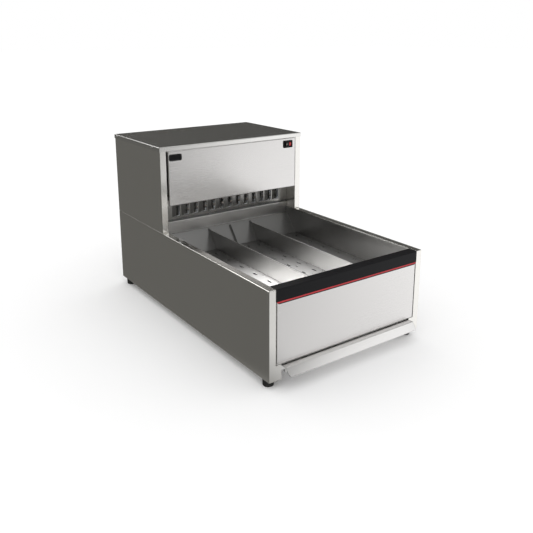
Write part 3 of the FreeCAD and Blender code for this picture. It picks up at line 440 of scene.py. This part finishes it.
finishes = {
    "steel_side": brushed_steel(
        "side_steel", (0.90, 0.885, 0.85), roughness=0.17, grain="z", streaks=0.03),
    "steel_cover": brushed_steel(
        "cover_steel", (0.82, 0.81, 0.79), roughness=0.15, grain="x", streaks=0.02, rounding=0.0009),
    "steel_front": brushed_steel(
        "front_steel", (0.80, 0.785, 0.775), roughness=0.26, grain="x", streaks=0.012),
    "steel_back": brushed_steel(
        "back_steel", (0.55, 0.545, 0.53), roughness=0.33, grain="z"),
    # The pan and its dividers get painted shade towards the back
    "steel_pan": brushed_steel(
        "pan_steel", (0.90, 0.895, 0.88), roughness=0.30, grain="x", streaks=0.03, painted_back_shade=0.36),
    # Painted shade: the scooped floor is a much darker tone of the pan's steel, for the shaded back of the
    # pan
    "steel_floor": brushed_steel(
        "scooped_steel_painted_shade", (0.34, 0.335, 0.33), roughness=0.50, grain="y", streaks=0.06),
    "steel_divider": brushed_steel(
        "divider_steel", (0.92, 0.915, 0.90), roughness=0.38, grain="y",
        streaks=0.03, wear=0.0, painted_back_shade=0.35, rounding=0.0),
    "steel_mouth": brushed_steel(
        "mouth_steel", (0.93, 0.92, 0.90), roughness=0.30, grain="x", streaks=0.02),
    # Painted shade: the louvers are a much darker tone of the same steel, for the shaded recess of the warm
    # air's mouth
    "steel_louver": brushed_steel(
        "louver_steel_painted_shade", (0.37, 0.365, 0.352), roughness=0.25, grain="z", streaks=0.05, wear=0.08),
    "steel_tray": brushed_steel(
        "tray_steel", (0.90, 0.89, 0.88), roughness=0.25, grain="x", streaks=0.015),
    "galvanised": zinc_sheet("galvanised_sheet"),
    "bright_fasteners": plated_metal("plated_fasteners", (0.88, 0.88, 0.87), roughness=0.42),
    "wheel_metal": plated_metal("wheel_aluminium", (0.70, 0.71, 0.72), roughness=0.36),
    "sensor_metal": plated_metal("sensor_metal", (0.60, 0.60, 0.59), roughness=0.3),
    "element_sheath": oxidised_sheath("element_sheath"),
    "black_trim": black_paint("trim_black", (0.008, 0.008, 0.009), roughness=0.34, shine=0.12),
    "motor_paint": black_paint("motor_enamel", (0.03, 0.03, 0.033), roughness=0.4),
    "black_plastic": moulded_plastic("black_plastic", (0.006, 0.006, 0.0065), roughness=0.42, shine=0.15),
    "cream_plastic": moulded_plastic("cream_plastic", (0.68, 0.64, 0.52), roughness=0.5),
    "rubber": soft_rubber("foot_rubber"),
    "red_line": red_film("red_line_film"),
    "red_lens": lit_lens("lit_red_lens"),
    "insulation": mineral_wool("mineral_wool"),
}
for subpart in frame["record"]["subparts"]:
    node = frame["nodes"][subpart["node"]]
    for material_slot in node.material_slots:
        material_slot.material = finishes[subpart["material_slot"]]


# Printed switch marks

def print_mark(name, node_name, rows, closed):
    """A thin printed mark on the front of a node, between rows of (x, z) places."""
    node = frame["nodes"][node_name]
    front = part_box(node_name)[0][1] - mark_clearance
    backwards = Vector((0.0, 1.0, 0.0))
    mesh = bmesh.new()
    lines = []
    for row in rows:
        line = []
        for x, z in row:
            place, normal = node.ray_cast(Vector((x, front, z)), backwards)[1:3]
            line.append(mesh.verts.new(place + normal * mark_lift))
        lines.append(line)
    for first, second in zip(lines, lines[1:]):
        count = len(first)
        for number in range(count if closed else count - 1):
            after = (number + 1) % count
            mesh.faces.new((first[number], first[after], second[after], second[number]))
    data = bpy.data.meshes.new(name)
    mesh.to_mesh(data)
    mesh.free()
    mark = bpy.data.objects.new(name, data)
    bpy.context.scene.collection.objects.link(mark)
    thick = mark.modifiers.new("print", "SOLIDIFY")
    thick.thickness = mark_thickness
    thick.offset = 0.0
    data.materials.append(finishes["cream_plastic"])
    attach(mark, "rocker")


def circle_row(x, z, radius):
    turns = [2.0 * math.pi * number / mark_steps for number in range(mark_steps)]
    return [(x + radius * math.cos(turn), z + radius * math.sin(turn)) for turn in turns]


def make_switch_marks():
    """The round off mark on the black half, and the upright on mark on the lens."""
    low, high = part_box("power_rocker")
    level = (low[2] + high[2]) / 2.0
    x = low[0] + off_mark_set_in
    rings = [circle_row(x, level, radius) for radius in (off_mark_radius, off_mark_radius - mark_stroke)]
    print_mark("switch_off_mark", "power_rocker", rings, True)
    low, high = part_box("rocker_lens")
    middle = (low[0] + high[0]) / 2.0
    heights = [level + on_mark_height * (step / mark_steps - 0.5) for step in range(mark_steps + 1)]
    sides = [[(middle + side * mark_stroke / 2.0, z) for z in heights] for side in (1, -1)]
    print_mark("switch_on_mark", "rocker_lens", sides, False)


# Surroundings

def brightness_by_direction(tree, vector):
    """Bright in front on the right, a glow overhead with a lamp in it, and dark elsewhere.

    The bright side is weaker above the horizon."""
    parts = split(tree, vector)
    to_bright_side = reach_along(tree, vector, bright_side_direction)
    bright_part = spread(tree, to_bright_side, 0.0, bright_side, *bright_side_fade)
    raised_part = spread(tree, parts["Z"], 1.0, raised_share, *raised_fade)
    front_part = arithmetic(tree, "MULTIPLY", bright_part, raised_part)
    overhead_part = spread(tree, parts["Z"], 0.0, overhead_glow, *overhead_fade)
    lamp_part = spread(tree, reach_along(tree, vector, lamp_direction), 0.0, lamp_glow, *lamp_fade)
    dark_part = spread(tree, parts["X"], dark_left, dark_right, *left_to_right_fade)
    return highest(tree, front_part, overhead_part, lamp_part, dark_part)


def set_tone(tree, shader, tone):
    """Gives an emitting shader its brightness, slightly warm where it is dark."""
    share = spread(tree, tone, 0.0, 1.0, start=dark_left, stop=neutral_tone)
    tree.links.new(mix_colors(tree, share, dark_tint, plain_white), shader.inputs["Color"])
    tree.links.new(tone, shader.inputs["Strength"])


def make_world():
    """A white backdrop, which steel reflects as the studio around it."""
    world = bpy.data.worlds.new("studio")
    bpy.context.scene.world = world
    world.use_nodes = True
    world.cycles.sampling_method = "NONE"
    tree = world.node_tree
    coordinates = add_node(tree, "ShaderNodeTexCoord")
    studio_tone = brightness_by_direction(tree, coordinates.outputs["Generated"])
    path = add_node(tree, "ShaderNodeLightPath")
    tone = mix_numbers(tree, path.outputs["Is Glossy Ray"], backdrop_white, studio_tone)
    set_tone(tree, tree.nodes["Background"], tone)


def add_plane(name, finish_name, size):
    """A plane with a material of its own, whose node tree is empty."""
    bpy.ops.mesh.primitive_plane_add(size=size)
    plane = bpy.context.object
    plane.name = name
    material = bpy.data.materials.new(finish_name)
    material.use_nodes = True
    material.node_tree.nodes.clear()
    plane.data.materials.append(material)
    return plane, material.node_tree


def show_mixed(tree, share, first, second):
    """Shows the first shader where share is 0 and the second where it is 1."""
    mixed = add_node(tree, "ShaderNodeMixShader")
    tree.links.new(share, mixed.inputs["Fac"])
    tree.links.new(first, mixed.inputs[1])
    tree.links.new(second, mixed.inputs[2])
    output = add_node(tree, "ShaderNodeOutputMaterial")
    tree.links.new(mixed.outputs["Shader"], output.inputs["Surface"])


def make_floor():
    """A pale paper floor, which steel reflects as a glow."""
    floor, tree = add_plane("studio_floor", "floor_paper", floor_size)
    paper = add_node(tree, "ShaderNodeBsdfDiffuse")
    paper.inputs["Color"].default_value = (floor_tone, floor_tone, floor_tone, 1.0)
    geometry = add_node(tree, "ShaderNodeNewGeometry")
    place = geometry.outputs["Position"]
    parts = split(tree, place)
    ahead = reach_along(tree, place, floor_ahead_direction)
    ahead_part = spread(tree, ahead, 0.0, bright_side, *floor_ahead_fade)
    right_part = spread(tree, parts["X"], 0.0, bright_side, *floor_right_fade)
    back_share = spread(tree, parts["Y"], 1.0, floor_back_share, *floor_back_fade)
    lower_part = arithmetic(tree, "MINIMUM", ahead_part, right_part)
    bright_part = arithmetic(tree, "MULTIPLY", lower_part, back_share)
    glow = add_node(tree, "ShaderNodeEmission")
    set_tone(tree, glow, highest(tree, bright_part, dark_left))
    path = add_node(tree, "ShaderNodeLightPath")
    show_mixed(tree, path.outputs["Is Glossy Ray"], paper.outputs["BSDF"], glow.outputs["Emission"])


# Lights and camera

def turn_towards(thing, place, target, facing):
    """Puts a thing at a place, with its facing axis towards the target."""
    toward = Vector(target) - Vector(place)
    thing.location = place
    thing.rotation_euler = toward.to_track_quat(facing, "Y").to_euler()


def make_reflector():
    """A lit card in front on the right, brightest in its middle, which only shows as a reflection."""
    # Its glow fades from the middle to the sides
    half_side = 0.5
    card, tree = add_plane("reflector_card", "reflector_card", 2.0 * half_side)
    card.scale = reflector_size + (1.0,)
    turn_towards(card, reflector_place, reflector_target, "Z")
    for kind in ("camera", "diffuse", "transmission", "volume_scatter", "shadow"):
        setattr(card, "visible_" + kind, False)
    ball = add_node(tree, "ShaderNodeTexGradient", gradient_type="SPHERICAL")
    tree.links.new(place_in_object(tree, even(1.0 / half_side)), ball.inputs["Vector"])
    share = spread(tree, ball.outputs["Fac"], 0.0, 1.0, start=0.0, stop=reflector_full_glow_at)
    clear = add_node(tree, "ShaderNodeBsdfTransparent")
    glow = add_node(tree, "ShaderNodeEmission")
    glow.inputs["Strength"].default_value = reflector_glow
    show_mixed(tree, share, clear.outputs["BSDF"], glow.outputs["Emission"])


def add_light(name, kind, power):
    data = bpy.data.lights.new(name, kind)
    data.energy = power
    light = bpy.data.objects.new(name, data)
    bpy.context.scene.collection.objects.link(light)
    return light


def add_area_light(name, power, size):
    light = add_light(name, "AREA", power)
    light.data.shape = "RECTANGLE"
    light.data.size, light.data.size_y = size
    return light


def make_sun():
    """A broad soft light from the front, which steel doesn't mirror."""
    sun = add_light("soft_key", "SUN", sun_power)
    sun.data.angle = math.radians(sun_width_degrees)
    sun.rotation_euler = (math.radians(sun_tilt_degrees), 0.0, math.radians(sun_turn_degrees))
    sun.visible_glossy = False


def make_softbox():
    """A small softbox over the pan, which lights the front of the pan's floor and nothing else."""
    softbox = add_area_light("softbox", softbox_power, softbox_size)
    softbox.data.spread = math.radians(softbox_spread_degrees)
    turn_towards(softbox, softbox_place, softbox_target, "-Z")
    softbox.visible_diffuse = False
    lit_nodes = bpy.data.collections.new("lit_by_softbox")
    for name in softbox_nodes:
        lit_nodes.objects.link(frame["nodes"][name])
    softbox.light_linking.receiver_collection = lit_nodes


def make_duct_lamp():
    """A weak lamp high in the warm air duct, so that its inside shows between the louvers."""
    lamp = add_area_light("duct_lamp", duct_lamp_power, duct_lamp_size)
    lamp.location = duct_lamp_place
    lamp.rotation_euler = (math.radians(duct_lamp_tilt_degrees), 0.0, 0.0)
    lamp.visible_camera = False


def make_camera():
    data = bpy.data.cameras.new("photo_camera")
    data.lens = camera_lens
    data.shift_y = camera_shift
    camera = bpy.data.objects.new("photo_camera", data)
    bpy.context.scene.collection.objects.link(camera)
    camera.location = camera_place
    camera.rotation_euler = (math.radians(90.0 - camera_drop_degrees), 0.0, math.radians(camera_turn_degrees))
    bpy.context.scene.camera = camera


make_switch_marks()
make_world()
make_floor()
make_reflector()
make_sun()
make_softbox()
make_duct_lamp()
make_camera()
bpy.context.scene.view_settings.view_transform = "Standard"
